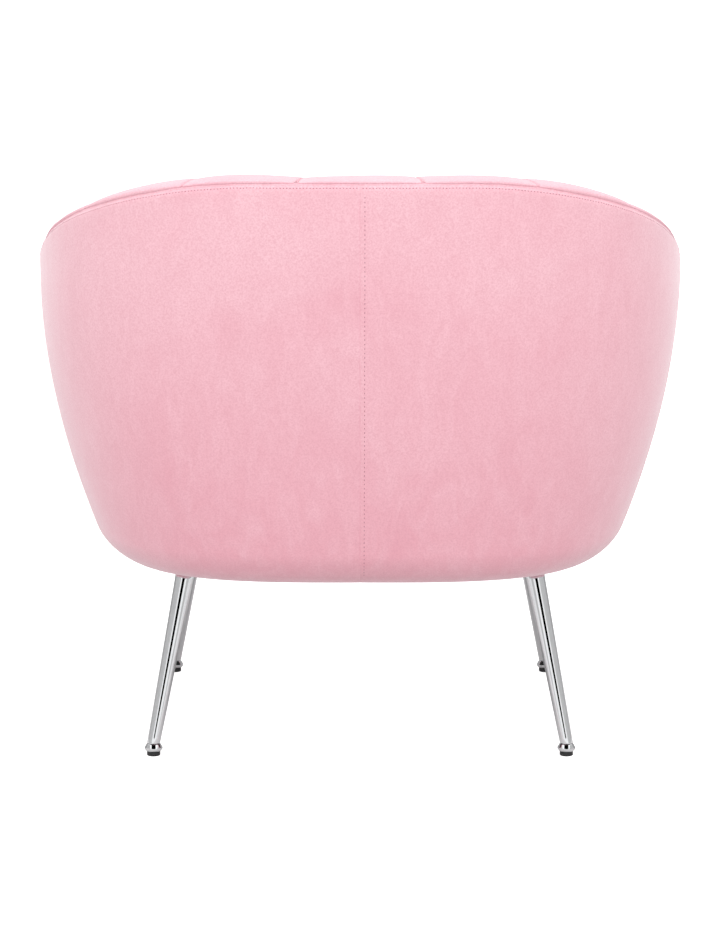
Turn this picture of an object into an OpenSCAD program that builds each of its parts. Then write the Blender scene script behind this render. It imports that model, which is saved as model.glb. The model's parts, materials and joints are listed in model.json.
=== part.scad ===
// Upholstered tub armchair: channelled inside, plain outer back, loose seat
// cushion and four splayed metal legs with screw-adjusted glides.
// Units are millimetres. +Z is up, the sitter faces -Y, +X is to the right
// of someone looking along +Y. The floor is z = 0.

/* [Shell] */
// Overall width at the arms
body_width = 836; // [740:1:960]
// Depth from the cushion front to the back rim
body_depth = 702; // [620:1:800]
// Height of the rim seam at the middle of the back
back_seam_height = 733; // [660:1:820]
// How far the rim seam falls from the back to the arm fronts
rim_drop = 174; // [100:1:220]
// Height of the underside of the body above the floor
underside_height = 225; // [190:1:260]
// How far each side leans in from the arm to the underside
side_lean = 85; // [30:1:110]
// How far the back leans in from the rim to the underside
back_lean = 74; // [30:1:110]
// Squareness of the plan curve round the back
plan_power = 3.1; // [2.2:0.1:4]
// Distance of the start of the straight arms in front of the middle
arm_start = 80; // [40:1:120]
// Radius along the bottom edge
edge_radius = 45; // [25:1:60]
// Thickness of the padded wall
wall_thickness = 90; // [75:1:105]
// Height of the padded crown above the rim seam
crown_height = 9; // [5:1:16]
// Depth of the tucks between two channels
tuck_depth = 8; // [3:1:12]

/* [Seat] */
// Height of the seat deck
deck_height = 313; // [280:1:340]
// Thickness of the cushion at its edge
cushion_edge = 128; // [100:1:150]
// Extra height in the middle of the cushion
cushion_dome = 20; // [8:1:34]
// Gap between the cushion and the inside cover
cushion_gap = 6; // [4:1:14]

/* [Legs] */
// Sideways distance from the middle to each foot
foot_x = 262.5; // [220:0.5:300]
// Fore and aft distance from the middle to each foot
foot_y = 235; // [200:0.5:270]
// Sideways distance from the middle to each leg top
leg_top_x = 223; // [190:1:240]
// Fore and aft distance from the middle to each leg top
leg_top_y = 182; // [160:1:195]
// Leg diameter at the top
leg_top_d = 24; // [20:0.5:30]
// Leg diameter at the bottom
leg_end_d = 16.5; // [15:0.5:22]
// Diameter of the glide stud
stud_d = 6; // [5:0.5:8]
// Running clearance round the stud, on the diameter
stud_clearance = 0.1; // [0.05:0.01:0.2]
// Travel of each glide
glide_travel = 8; // [4:1:8]

/* [Hidden] */
$fn = 32;
side = body_width / 2;
reach = body_depth / 2;
bend_y = -arm_start;
back_reach = reach + arm_start;
nose = wall_thickness / 2;
front_y = -reach;
nose_tip_y = front_y + 16;
nose_y = nose_tip_y + nose;
straight = bend_y - nose_y;
arc = 0.8634 * (side + back_reach);
arm_end = arc + straight;
side_full_z = underside_height + 369;
back_full_z = back_seam_height + 2;
base_z = underside_height;
edge_top_z = base_z + edge_radius;
half_centre = 0.113 * arc;
pitch = (arm_end - half_centre) / 6;
cover_t = 1.5;
slot = 0.4;
pad_in = 34;
frame_in = 12.8;
frame_t = 16.8;
rail_in = 26;
rail_t = 22;
rail_low = base_z + 6.6;
rail_top = base_z + 65;
pad_base = deck_height - 16;
seat_edge_z = deck_height + 1;
cushion_z = seat_edge_z + cushion_edge;
seat_front = reach - arm_start;
foot_top = 16;
leg_top_z = base_z + 3;
plate_low = base_z + 3.2;
plate_high = base_z + 6.2;
leg_hole_d = leg_top_d + 8;

// ---- shape of the shell ----

function clamp01(v) = max(0, min(1, v));

function mix(a, b, f) = a + (b - a) * f;

// Half width of the outer surface at height z.
function half_w(z) = side - side_lean * pow(max(side_full_z - z, 0) / 369, 1.86);

// Distance from the bend centre to the outer back at height z.
function back_b(z) = back_reach
  - back_lean * pow(max(back_full_z - z, 0) / (back_full_z - base_z), 1.8);

// Radius of the plan curve at an angle from +Y.
function plan_r(th, a, b, n) =
  1 / pow(pow(abs(sin(th)) / a, n) + pow(abs(cos(th)) / b, n), 1 / n);

// Point of the wall: u is the distance round the shell from the middle of the
// back, positive on the +X side; depth is measured inwards.
function wall_point(u, depth, z) = abs(u) <= arc
  ? let (th = 90 * u / arc, r = plan_r(th, half_w(z), back_b(z), plan_power) - depth)
    [r * sin(th), bend_y + r * cos(th), z]
  : [sign(u) * (half_w(z) - depth), bend_y - (abs(u) - arc), z];

// Height of the rim seam at the distance u round the shell.
function seam_z(u) = back_seam_height
  - rim_drop * (1 - cos(180 * clamp01((abs(u) - 0.187 * arc) / (1.0136 * arc)))) / 2;

// ---- channels ----

// Distance from the middle of the back to tuck k.
function mark(k) = half_centre + k * pitch;

function start_of(i) = i == 0 ? -mark(0) : i > 0 ? mark(i - 1) : -mark(-i);

function end_of(i) = i == 0 ? mark(0) : i > 0 ? mark(i) : -mark(-i - 1);

steps = 4;

// Fullness of a channel across its width, 0 in a tuck and 1 in the middle.
function fullness(f) = f <= 0.001 || f >= 0.999 ? 0 : pow(sin(180 * f), 0.6);

// [distance, fullness] of each station of channel i, drawn in by g at both ends.
function channel_stations(i, g) = [for (k = [0 : steps])
  [mix(start_of(i), end_of(i), k / steps) + (k == 0 ? g : k == steps ? -g : 0),
   fullness(k / steps)]];

// Stations of the whole inside, with shared tucks listed once.
function inside_stations() = [for (i = [-6 : 6])
  for (k = [(i == -6 ? 0 : 1) : steps])
    [mix(start_of(i), end_of(i), k / steps), fullness(k / steps)]];

// Distances round one side of the shell, from the middle to the arm front.
function half_stations(g) = concat([g, mark(0) / 2, mark(0)],
  [for (i = [1 : 6]) for (k = [1 : steps]) mix(start_of(i), end_of(i), k / steps)]);

function full_stations() = let (h = half_stations(0))
  concat([for (k = [len(h) - 1 : -1 : 1]) -h[k]], h);

function part_stations(u0, u1) = concat([u0],
  [for (u = full_stations()) if (u > u0 + 2 && u < u1 - 2) u], [u1]);

// ---- solids ----

// Closed solid between two grids of points of the same size.
module strip(a, b) {
  m = len(a);
  n = len(a[0]);
  faces = concat(
    [for (j = [0 : m - 2]) for (i = [0 : n - 2]) each
      [[j * n + i, (j + 1) * n + i, (j + 1) * n + i + 1],
       [j * n + i, (j + 1) * n + i + 1, j * n + i + 1]]],
    [for (j = [0 : m - 2]) for (i = [0 : n - 2]) each
      [[m * n + j * n + i, m * n + (j + 1) * n + i + 1, m * n + (j + 1) * n + i],
       [m * n + j * n + i, m * n + j * n + i + 1, m * n + (j + 1) * n + i + 1]]],
    [for (j = [0 : m - 2]) each
      [[j * n, m * n + j * n, m * n + (j + 1) * n],
       [j * n, m * n + (j + 1) * n, (j + 1) * n]]],
    [for (j = [0 : m - 2]) each
      [[j * n + n - 1, m * n + (j + 1) * n + n - 1, m * n + j * n + n - 1],
       [j * n + n - 1, (j + 1) * n + n - 1, m * n + (j + 1) * n + n - 1]]],
    [for (i = [0 : n - 2]) each
      [[i, i + 1, m * n + i + 1],
       [i, m * n + i + 1, m * n + i]]],
    [for (i = [0 : n - 2]) each
      [[(m - 1) * n + i, 2 * m * n - n + i + 1, (m - 1) * n + i + 1],
       [(m - 1) * n + i, 2 * m * n - n + i, 2 * m * n - n + i + 1]]]);
  polyhedron(concat([for (r = a) each r], [for (r = b) each r]), faces);
}

// Closed solid through level rings, capped at both ends or joined in a loop.
module rings(r, loop = false) {
  m = len(r);
  n = len(r[0]);
  last = loop ? m - 1 : m - 2;
  walls = [for (j = [0 : last]) for (i = [0 : n - 1])
    let (k = (i + 1) % n, q = (j + 1) % m) each
      [[j * n + i, q * n + i, q * n + k], [j * n + i, q * n + k, j * n + k]]];
  caps = loop ? [] : [[for (i = [0 : n - 1]) i],
    [for (i = [n - 1 : -1 : 0]) (m - 1) * n + i]];
  polyhedron([for (s = r) each s], concat(walls, caps));
}

// Piece of the wall between two distances, two depths and two heights; the
// top follows the rim seam when its height is given as a drop below it.
module wall_piece(u0, u1, d0, d1, z0, z1, drop = 0) {
  s = part_stations(u0, u1);
  rows = 5;
  strip(
    [for (u = s) [for (i = [0 : rows])
      wall_point(u, d0, mix(z0 < 0 ? seam_z(u) + z0 : z0,
        drop > 0 ? seam_z(u) - drop : z1, i / rows))]],
    [for (u = s) [for (i = [0 : rows])
      wall_point(u, d1, mix(z0 < 0 ? seam_z(u) + z0 : z0,
        drop > 0 ? seam_z(u) - drop : z1, i / rows))]]);
}

// ---- covers ----

// Depth and height of the outer cover, shifted in by d: turn-under, bottom
// edge, then the wall up to the seam.
function outer_line(u, d) = concat(
  [[edge_radius + 16, base_z + d]],
  [for (f = [0 : 18 : 90])
    [edge_radius - (edge_radius - d) * sin(f), edge_top_z - (edge_radius - d) * cos(f)]],
  [for (i = [1 : 6]) [d, mix(edge_top_z, seam_z(u), i / 6)]]);

module outer_cover(s) {
  grid = [for (d = [0, cover_t]) [for (u = half_stations(0.2))
    [for (p = outer_line(u, d)) wall_point(s * u, p[0], p[1])]]];
  difference() {
    strip(s > 0 ? grid[0] : grid[1], s > 0 ? grid[1] : grid[0]);
    translate([s * leg_top_x, leg_top_y, base_z - 5])
      cylinder(h = 16, d = leg_hole_d);
    translate([s * leg_top_x, -leg_top_y, base_z - 5])
      cylinder(h = 16, d = leg_hole_d);
  }
}

// Depth and height of the inside cover, shifted in by d: from the rim seam
// over the crown and down the inside. f is the fullness of the channel.
function inside_line(u, f, d) = let (
    z = seam_z(u),
    w = wall_thickness - tuck_depth * (1 - f),
    c = crown_height - 2 * (1 - f))
  [[d, z + slot],
   [3 + 0.8 * d, z + 0.42 * c - 0.6 * d],
   [12 + 0.35 * d, z + 0.74 * c - 0.94 * d],
   [28 + 0.1 * d, z + 0.95 * c - d],
   [46, z + c - d],
   [w - 26 - 0.25 * d, z + 0.8 * c - 0.97 * d],
   [w - 12 - 0.7 * d, z - 0.7 * d],
   [w - 4 - 0.95 * d, z - 14 - 0.3 * d],
   [w - d, z - 40],
   [w - d, mix(z - 40, pad_base, 0.33)],
   [w - d, mix(z - 40, pad_base, 0.66)],
   [w - d, pad_base]];

// Back face of a channel pad, hooked over the top rail.
function pad_back(u) = let (z = seam_z(u))
  [[2.4, z - 4.2],
   [7, z - 5],
   [14, z - 10],
   [26, z - 24],
   [pad_in, z - 27],
   [pad_in, z - 40],
   [pad_in, z - 60],
   [pad_in, z - 80],
   [pad_in, z - 110],
   [pad_in, mix(z - 110, pad_base, 0.33)],
   [pad_in, mix(z - 110, pad_base, 0.66)],
   [pad_in, pad_base]];

module channel_pad(i) {
  s = channel_stations(i, 0.3);
  strip(
    [for (t = s) [for (p = pad_back(t[0])) wall_point(t[0], p[0], p[1])]],
    [for (t = s) [for (p = inside_line(t[0], t[1], cover_t + slot))
      wall_point(t[0], p[0], p[1])]]);
}

module inside_skin() {
  s = inside_stations();
  strip(
    [for (t = s) [for (p = inside_line(t[0], t[1], cover_t)) wall_point(t[0], p[0], p[1])]],
    [for (t = s) [for (p = inside_line(t[0], t[1], 0)) wall_point(t[0], p[0], p[1])]]);
}

// ---- arm fronts ----

// Outer and inner half of the arm section, each from the bottom to the crown.
function nose_out(d) = let (z = seam_z(arm_end), c = crown_height)
  [[nose - 4, base_z + d],
   [edge_radius - (edge_radius - d) * sin(36), edge_top_z - (edge_radius - d) * cos(36)],
   [edge_radius - (edge_radius - d) * sin(63), edge_top_z - (edge_radius - d) * cos(63)],
   [d, edge_top_z],
   [d, mix(edge_top_z, z, 0.33)],
   [d, mix(edge_top_z, z, 0.66)],
   [d, z - 6],
   [3 + 0.8 * d, z + 0.42 * c - 0.6 * d],
   [12 + 0.35 * d, z + 0.74 * c - 0.94 * d],
   [nose - 5, z + c - d]];

function nose_in(d) = let (z = seam_z(arm_end), c = crown_height, w = wall_thickness)
  [[nose + 4, base_z + d],
   [w - 12 - 0.7 * d, base_z + d],
   [w - d, base_z + 12],
   [w - d, edge_top_z],
   [w - d, mix(edge_top_z, z, 0.33)],
   [w - d, mix(edge_top_z, z, 0.66)],
   [w - d, z - 40],
   [w - 4 - 0.95 * d, z - 14 - 0.3 * d],
   [w - 12 - 0.7 * d, z - 0.7 * d],
   [nose + 5, z + c - d]];

// Section point of the left arm carried round the nose by the angle a.
function nose_point(p, a, d) = let (
    k = 1 - cos(a),
    zt = seam_z(arm_end),
    z = p[1] - 34 * k * clamp01((p[1] - base_z - 90) / (zt - base_z - 90))
      + 22 * k * clamp01((base_z + 90 - p[1]) / 90),
    h = (nose - p[0]) * cos(a))
  [-(half_w(p[1]) - nose + h), nose_y - slot - (nose - slot - d) * sin(a), z];

nose_angles = [0, 15, 30, 45, 58, 70, 79];

module nose_pad() {
  d = cover_t + 3 * slot;
  a = [for (t = nose_angles) [for (p = nose_out(d)) nose_point(p, t, d)]];
  b = [for (t = nose_angles) [for (p = nose_in(d)) nose_point(p, t, d)]];
  strip(b, a);
}

function flip(v) = [for (i = [len(v) - 1 : -1 : 0]) v[i]];

module nose_cover() {
  angles = concat(nose_angles, [87]);
  a = [for (t = angles)
    [for (p = concat(nose_out(0), flip(nose_in(0)))) nose_point(p, t, 0)]];
  b = [for (t = angles)
    [for (p = concat(nose_out(cover_t), flip(nose_in(cover_t)))) nose_point(p, t, cover_t)]];
  strip(b, a);
}

// ---- seat ----

border_y = nose_y - 16;

function border_line(d) = [
  [border_y + 34, base_z + d],
  [border_y + 20, base_z + d],
  [border_y + 10 + 0.5 * d, base_z + 2.7 + 0.87 * d],
  [border_y + 2.7 + 0.87 * d, base_z + 10 + 0.5 * d],
  [border_y + d, base_z + 20],
  [border_y + d, base_z + 45],
  [border_y + d, deck_height - 18],
  [border_y + 4 + 0.7 * d, deck_height - 6 - 0.7 * d],
  [border_y + 15, deck_height - 0.5 - d],
  [border_y + 36, deck_height - 0.5 - d]];

module front_border_skin() {
  g = wall_thickness + 2;
  strip(
    [for (s = [-1, 1]) [for (p = border_line(cover_t)) [s * (half_w(p[1]) - g), p[0], p[1]]]],
    [for (s = [-1, 1]) [for (p = border_line(0)) [s * (half_w(p[1]) - g), p[0], p[1]]]]);
}

// Plan outline at one height and depth, closed by a straight front edge.
function floor_outline(depth, z, yf) = concat(
  [for (u = full_stations()) if (abs(u) <= arc)
    let (p = wall_point(u, depth, z)) [p[0], p[1]]],
  [[half_w(z) - depth, yf], [-half_w(z) + depth, yf]]);

// Ring of the cushion at height z, drawn in by e.
function seat_ring(e, z, zo) = [for (k = [0 : 47])
  let (
    th = 7.5 * k,
    a = half_w(z) - wall_thickness - cushion_gap,
    r = cos(th) >= 0
      ? plan_r(th, half_w(z), back_b(z), plan_power) - wall_thickness - cushion_gap
      : plan_r(th, a, seat_front, 7))
  [(r - e) * sin(th), bend_y + (r - e) * cos(th), zo]];

// Dome of the cushion top at the share f of the way to its middle.
function dome(f) = cushion_z + cushion_dome * (1 - pow(1 - f, 2.2));

function dome_rings(d) = [for (f = [0, 0.08, 0.2, 0.36, 0.55, 0.75, 0.93])
  seat_ring(4 + d + 225 * f, cushion_z, dome(f) - d)];

module cushion_top() {
  rings(concat(flip(dome_rings(cover_t)), dome_rings(0)));
}

module cushion_band() {
  z0 = seat_edge_z + 2;
  z1 = cushion_z - 2;
  zm = (z0 + z1) / 2;
  rings([
    seat_ring(5, z0, z0), seat_ring(0, zm, zm), seat_ring(5, z1, z1),
    seat_ring(5 + cover_t, z1, z1), seat_ring(cover_t, zm, zm), seat_ring(5 + cover_t, z0, z0)],
    loop = true);
}

module cushion_foam() {
  d = cover_t + 5;
  z0 = seat_edge_z + 2;
  z1 = cushion_z - 2;
  zm = (z0 + z1) / 2;
  rings(concat(
    [seat_ring(5 + d, z0, z0), seat_ring(d, zm, zm), seat_ring(5 + d, z1, z1)],
    [for (f = [0.08, 0.2, 0.36, 0.55, 0.75, 0.93])
      seat_ring(4 + d + 225 * f, cushion_z, dome(f) - d)]));
}

// ---- legs ----

function leg_corner(sx, sy) = [sx * leg_top_x, sy * leg_top_y];

module leg(sx, sy) {
  run = [sx * (foot_x - leg_top_x), sy * (foot_y - leg_top_y)];
  rise = leg_top_z - foot_top;
  long = sqrt(run[0] * run[0] + run[1] * run[1] + rise * rise);
  lean = acos(rise / long);
  turn = atan2(run[1], run[0]);
  difference() {
    intersection() {
      translate([sx * foot_x, sy * foot_y, foot_top])
        rotate([0, -lean, turn])
          translate([0, 0, -6])
            cylinder(h = long + 12, d1 = leg_end_d, d2 = leg_top_d);
      translate([sx * 240 - 100, sy * 205 - 100, foot_top])
        cube([200, 200, rise]);
    }
    translate([sx * foot_x, sy * foot_y, foot_top - 1])
      cylinder(h = 14, d = stud_d + stud_clearance);
    translate([sx * leg_top_x, sy * leg_top_y, leg_top_z - 13])
      cylinder(h = 14, d = 8.2);
  }
}

module glide_cap(sx, sy) {
  translate([sx * foot_x, sy * foot_y, 0]) {
    translate([0, 0, 6])
      cylinder(h = 2.2, d1 = 18.5, d2 = 23);
    translate([0, 0, 8.2])
      cylinder(h = 2.6, d = 23);
    translate([0, 0, 10.8])
      cylinder(h = 4.9, d1 = 23, d2 = 17.5);
    translate([0, 0, 15.7])
      cylinder(h = 12.5, d = stud_d);
    translate([0, 0, 2])
      cylinder(h = 4, d = 5);
  }
}

module glide_pad(sx, sy) {
  translate([sx * foot_x, sy * foot_y, 0])
    difference() {
      union() {
        cylinder(h = 1, d1 = 15.6, d2 = 17);
        translate([0, 0, 1])
          cylinder(h = 4.7, d = 17);
      }
      translate([0, 0, 1.7])
        cylinder(h = 6, d = 5.1);
    }
}

// Places the children at the four leg tops, turned so +X and +Y point out.
module at_leg_tops() {
  for (sx = [-1, 1])
    for (sy = [-1, 1])
      translate([sx * leg_top_x, sy * leg_top_y, 0])
        scale([sx, sy, 1])
          children();
}

screw_spots = [[-39, -44], [-7, -44], [-39, -4]];

// ---- nodes ----

module outer_cover_left() {
  color("#e8b3bf") outer_cover(-1);
}

module outer_cover_right() {
  color("#e8b3bf") outer_cover(1);
}

module inside_cover() {
  color("#f0bcc8") inside_skin();
}

module nose_cover_left() {
  color("#f0bcc8") nose_cover();
}

module nose_cover_right() {
  color("#f0bcc8") mirror([1, 0, 0]) nose_cover();
}

module front_border_cover() {
  color("#e8b3bf") front_border_skin();
}

module deck_cover() {
  color("#d9a5b0")
    translate([0, 0, deck_height - cover_t])
      linear_extrude(cover_t)
        polygon(floor_outline(wall_thickness + 1.5, deck_height - cover_t, border_y + 37));
}

module dust_cover() {
  color("#2c2c2e")
    translate([0, 0, base_z + 1.9])
      difference() {
        linear_extrude(0.8)
          polygon(floor_outline(edge_radius + 6, base_z, nose_y + 4));
        at_leg_tops()
          translate([0, 0, -1])
            cylinder(h = 3, d = leg_hole_d);
      }
}

module cushion_top_panel() {
  color("#f0bcc8") cushion_top();
}

module cushion_boxing() {
  color("#eab4c0") cushion_band();
}

module cushion_bottom_panel() {
  color("#d9a5b0")
    rings([seat_ring(7, seat_edge_z, seat_edge_z),
      seat_ring(7, seat_edge_z, seat_edge_z + cover_t)]);
}

module cushion_core() {
  color("#efe6c8") cushion_foam();
}

module channel_pad_centre() {
  color("#efe6c8") channel_pad(0);
}

module channel_pad_left_1() {
  color("#efe6c8") channel_pad(-1);
}

module channel_pad_left_2() {
  color("#efe6c8") channel_pad(-2);
}

module channel_pad_left_3() {
  color("#efe6c8") channel_pad(-3);
}

module channel_pad_left_4() {
  color("#efe6c8") channel_pad(-4);
}

module channel_pad_left_5() {
  color("#efe6c8") channel_pad(-5);
}

module channel_pad_left_6() {
  color("#efe6c8") channel_pad(-6);
}

module channel_pad_right_1() {
  color("#efe6c8") channel_pad(1);
}

module channel_pad_right_2() {
  color("#efe6c8") channel_pad(2);
}

module channel_pad_right_3() {
  color("#efe6c8") channel_pad(3);
}

module channel_pad_right_4() {
  color("#efe6c8") channel_pad(4);
}

module channel_pad_right_5() {
  color("#efe6c8") channel_pad(5);
}

module channel_pad_right_6() {
  color("#efe6c8") channel_pad(6);
}

module nose_pad_left() {
  color("#efe6c8") nose_pad();
}

module nose_pad_right() {
  color("#efe6c8") mirror([1, 0, 0]) nose_pad();
}

module front_border_pad() {
  w = half_w(rail_low) - wall_thickness - 4;
  color("#efe6c8")
    translate([-w, border_y + 4.4, rail_low + 8])
      cube([2 * w, 4, deck_height - 12 - rail_low - 8]);
}

module deck_pad() {
  color("#efe6c8")
    translate([0, 0, pad_base + 0.5])
      linear_extrude(deck_height - cover_t - slot - pad_base - 0.5)
        polygon(floor_outline(wall_thickness + 2, pad_base, border_y + 37));
}

module outer_wadding() {
  color("#f6f3ec") wall_piece(-arm_end, arm_end, 2.4, 6.5, edge_top_z + 6, 0, drop = 6);
}

module outer_board() {
  color("#b99b6b") wall_piece(-arm_end, arm_end, 7.3, 10.3, edge_top_z + 6, 0, drop = 12);
}

module seat_front_rail() {
  w = half_w(rail_low) - wall_thickness - 4;
  color("#d2b07a")
    translate([-w, border_y + 8.8, rail_low])
      cube([2 * w, 21, rail_top - rail_low]);
}

module seat_rear_rail() {
  color("#d2b07a") wall_piece(-mark(2), mark(2), rail_in, rail_in + rail_t, rail_low, rail_top);
}

module seat_rail_left() {
  color("#d2b07a")
    wall_piece(-arm_end + 2, -mark(2) - 0.2, rail_in, rail_in + rail_t, rail_low, rail_top);
}

module seat_rail_right() {
  color("#d2b07a")
    wall_piece(mark(2) + 0.2, arm_end - 2, rail_in, rail_in + rail_t, rail_low, rail_top);
}

module corner_blocks() {
  y0 = border_y + 30;
  color("#c79f63")
    difference() {
      intersection() {
        translate([0, 0, rail_low])
          linear_extrude(38)
            polygon(floor_outline(rail_in + rail_t + 0.4, rail_low, y0));
        union() {
          for (x = [leg_top_x - 63, 63 - leg_top_x - side]) {
            translate([x, y0, rail_low - 1])
              cube([side, 56 - leg_top_y - y0, 60]);
            translate([x, leg_top_y - 77, rail_low - 1])
              cube([side, reach, 60]);
          }
        }
      }
      at_leg_tops()
        for (p = screw_spots)
          translate([p[0], p[1], rail_low - 1])
            cylinder(h = 18, d = 4.2, $fn = 16);
    }
}

module back_post_left() {
  color("#d2b07a")
    wall_piece(-mark(1) - 28, -mark(1) + 4, frame_in, frame_in + frame_t,
      rail_top + 0.3, 0, drop = 60);
}

module back_post_right() {
  color("#d2b07a")
    wall_piece(mark(1) - 4, mark(1) + 28, frame_in, frame_in + frame_t,
      rail_top + 0.3, 0, drop = 60);
}

module arm_post_left() {
  color("#d2b07a")
    wall_piece(-arm_end + 2, -arm_end + 42, frame_in, frame_in + frame_t,
      rail_top + 0.3, 0, drop = 60);
}

module arm_post_right() {
  color("#d2b07a")
    wall_piece(arm_end - 42, arm_end - 2, frame_in, frame_in + frame_t,
      rail_top + 0.3, 0, drop = 60);
}

module top_rail() {
  color("#d2b07a")
    wall_piece(-arm_end + 2, arm_end - 2, frame_in, frame_in + frame_t, -59.7, 0, drop = 30);
}

spring_z = rail_top + 2.6;
spring_xs = [-160, -80, 0, 80, 160];

// Middle of the top of the rear rail at the sideways distance x.
function rear_y(x) = let (
    a = half_w(rail_top) - rail_in - rail_t / 2,
    b = back_b(rail_top) - rail_in - rail_t / 2)
  bend_y + b * pow(1 - pow(abs(x) / a, plan_power), 1 / plan_power);

// Wire of one sinuous spring along Y.
module spring(x, y0, y1) {
  loops = 7;
  per = 6;
  n = loops * per;
  sides = 5;
  function path(k) = [x + 20 * sin(360 * k / per), mix(y0, y1, k / n), spring_z];
  function along(k) = let (v = path(min(k + 1, n)) - path(max(k - 1, 0))) v / norm(v);
  ring = [for (k = [0 : n]) let (p = path(k), t = along(k), q = [-t[1], t[0], 0])
    [for (i = [0 : sides - 1])
      p + 1.8 * (cos(360 * i / sides) * q + sin(360 * i / sides) * [0, 0, 1])]];
  rings(ring);
}

module seat_springs() {
  color("#8b8f94")
    for (x = spring_xs)
      spring(x, border_y + 20, rear_y(x));
}

module spring_clips() {
  color("#6d7075")
    for (x = spring_xs) {
      translate([x - 9, border_y + 11, rail_top])
        cube([18, 7.2, 5]);
      translate([x - 9, rear_y(x) + 2, rail_top])
        cube([18, 7.2, 5]);
    }
}

// Bands spread evenly from just above the deck to just below the top rail.
webbing_low = deck_height + 47;
webbing_pitch = (back_seam_height - 133 - webbing_low) / 3;
webbing_wide = 0.625 * webbing_pitch;

module back_webbing() {
  color("#3a3a3c")
    for (k = [0 : 3])
      let (h = webbing_low + k * webbing_pitch)
        wall_piece(-mark(1) - 20, mark(1) + 20, 31.8, 33.2, h, h + webbing_wide);
}

module leg_front_left() {
  color("#cfd2d6") leg(-1, -1);
}

module leg_front_right() {
  color("#cfd2d6") leg(1, -1);
}

module leg_rear_left() {
  color("#cfd2d6") leg(-1, 1);
}

module leg_rear_right() {
  color("#cfd2d6") leg(1, 1);
}

module countersunk_hole() {
  translate([0, 0, -0.1])
    cylinder(h = 2.4, d1 = 8.4, d2 = 4.4, $fn = 16);
  cylinder(h = 6, d = 4.4, $fn = 16);
}

module leg_plates() {
  color("#9a9da2")
    at_leg_tops()
      difference() {
        translate([-47, -52, plate_low])
          cube([56, 58, plate_high - plate_low]);
        translate([0, 0, plate_low - 1])
          cylinder(h = 6, d = 8.2);
        for (p = screw_spots)
          translate([p[0], p[1], plate_low])
            countersunk_hole();
      }
}

module leg_plate_screws() {
  color("#7c7f84")
    at_leg_tops()
      for (p = screw_spots)
        translate([p[0], p[1], plate_low]) {
          cylinder(h = 2.2, d1 = 8, d2 = 4, $fn = 16);
          translate([0, 0, 2.2])
            cylinder(h = 16.8, d = 4, $fn = 16);
        }
}

module leg_studs() {
  color("#7c7f84")
    at_leg_tops()
      translate([0, 0, leg_top_z - 12])
        cylinder(h = plate_high - leg_top_z + 11.8, d = 8);
}

module glide_cap_front_left() {
  color("#cfd2d6") glide_cap(-1, -1);
}

module glide_cap_front_right() {
  color("#cfd2d6") glide_cap(1, -1);
}

module glide_cap_rear_left() {
  color("#cfd2d6") glide_cap(-1, 1);
}

module glide_cap_rear_right() {
  color("#cfd2d6") glide_cap(1, 1);
}

module glide_pad_front_left() {
  color("#1d1d1f") glide_pad(-1, -1);
}

module glide_pad_front_right() {
  color("#1d1d1f") glide_pad(1, -1);
}

module glide_pad_rear_left() {
  color("#1d1d1f") glide_pad(-1, 1);
}

module glide_pad_rear_right() {
  color("#1d1d1f") glide_pad(1, 1);
}

outer_cover_left();
outer_cover_right();
inside_cover();
nose_cover_left();
nose_cover_right();
front_border_cover();
deck_cover();
dust_cover();
cushion_top_panel();
cushion_boxing();
cushion_bottom_panel();
cushion_core();
channel_pad_centre();
channel_pad_left_1();
channel_pad_left_2();
channel_pad_left_3();
channel_pad_left_4();
channel_pad_left_5();
channel_pad_left_6();
channel_pad_right_1();
channel_pad_right_2();
channel_pad_right_3();
channel_pad_right_4();
channel_pad_right_5();
channel_pad_right_6();
nose_pad_left();
nose_pad_right();
front_border_pad();
deck_pad();
outer_wadding();
outer_board();
seat_front_rail();
seat_rear_rail();
seat_rail_left();
seat_rail_right();
corner_blocks();
back_post_left();
back_post_right();
arm_post_left();
arm_post_right();
top_rail();
seat_springs();
spring_clips();
back_webbing();
leg_front_left();
leg_front_right();
leg_rear_left();
leg_rear_right();
leg_plates();
leg_plate_screws();
leg_studs();
glide_cap_front_left();
glide_cap_front_right();
glide_cap_rear_left();
glide_cap_rear_right();
glide_pad_front_left();
glide_pad_front_right();
glide_pad_rear_left();
glide_pad_rear_right();
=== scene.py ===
"""Upholstered tub armchair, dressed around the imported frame. Lengths are in millimetres in
the shape functions and in metres once a mesh is made."""

import json
import math

import bmesh
import bpy
import numpy as np
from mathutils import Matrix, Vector


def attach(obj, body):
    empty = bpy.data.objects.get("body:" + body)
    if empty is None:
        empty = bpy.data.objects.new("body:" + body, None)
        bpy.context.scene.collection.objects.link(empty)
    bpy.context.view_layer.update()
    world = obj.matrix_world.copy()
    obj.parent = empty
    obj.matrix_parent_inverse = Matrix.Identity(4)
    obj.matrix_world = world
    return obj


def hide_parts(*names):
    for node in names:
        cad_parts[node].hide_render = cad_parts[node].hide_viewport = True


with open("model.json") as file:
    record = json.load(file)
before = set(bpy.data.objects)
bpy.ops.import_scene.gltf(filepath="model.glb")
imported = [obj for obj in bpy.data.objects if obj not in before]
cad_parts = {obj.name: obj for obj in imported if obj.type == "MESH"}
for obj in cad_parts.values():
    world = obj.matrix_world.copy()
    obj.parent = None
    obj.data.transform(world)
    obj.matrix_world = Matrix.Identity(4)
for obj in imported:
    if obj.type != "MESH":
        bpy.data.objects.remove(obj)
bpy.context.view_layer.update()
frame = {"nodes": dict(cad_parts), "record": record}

# ---------------------------------------------------------------- shell shape

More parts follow.
